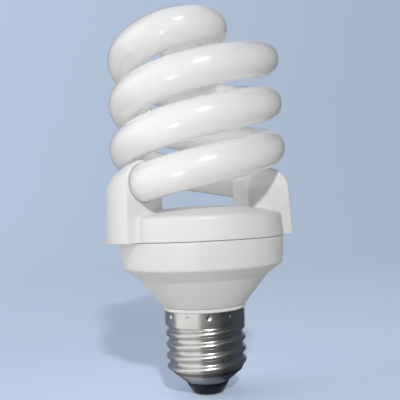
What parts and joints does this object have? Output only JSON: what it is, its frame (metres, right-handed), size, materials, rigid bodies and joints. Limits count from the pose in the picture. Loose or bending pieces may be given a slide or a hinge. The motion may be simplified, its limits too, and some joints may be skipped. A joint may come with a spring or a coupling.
{
  "type": "spiral energy saving bulb",
  "caption": "Compact fluorescent lamp: a spiral opal glass tube in the sockets of a white ballast casing, on a nickel Edison screw cap with a black insulator.",
  "frame": {"origin": "on the lamp's axis, at the lower face of the centre contact", "axes": "+Z along the lamp's axis, from the cap to the top of the coil; +X through the right socket's side of the coil, as the picture shows it; -Y towards the viewer"},
  "size_m": [0.0618, 0.0582, 0.1235],
  "materials": {
    "contact_metal": "tinned, satin",
    "black_glass": "gloss",
    "nickel": "nickel plated, bright",
    "white_plastic": "satin",
    "opal_glass": "opal, gloss",
    "cement": "rough",
    "board": "satin",
    "black_plastic": "satin",
    "film_plastic": "gloss",
    "ferrite": "matt",
    "copper": "enamelled",
    "resistor_lacquer": "satin",
    "red_glass": "gloss"
  },
  "bodies": {
    "root": {"centre_contact": "contact_metal", "cap_insulator": "black_glass", "screw_shell": "nickel", "ballast_housing": "white_plastic", "tube_cover": "white_plastic", "spiral_tube": "opal_glass", "socket_cement_right": "cement", "socket_cement_left": "cement", "circuit_board": "board", "reservoir_capacitor": "black_plastic", "resonant_capacitor": "film_plastic", "blocking_capacitor": "film_plastic", "filter_capacitor": "film_plastic", "choke_core": "ferrite", "choke_bobbin": "black_plastic", "choke_winding": "copper", "toroid_core": "ferrite", "toroid_windings": "copper", "transistor_1": "black_plastic", "transistor_2": "black_plastic", "rectifier_diodes": "black_plastic", "resistors": "resistor_lacquer", "trigger_diode": "red_glass", "fuse_resistor": "resistor_lacquer", "wrap_pins": "contact_metal", "contact_lead": "contact_metal", "shell_lead": "contact_metal", "filament_leads_right": "contact_metal", "filament_leads_left": "contact_metal"}
  },
  "joints": []
}
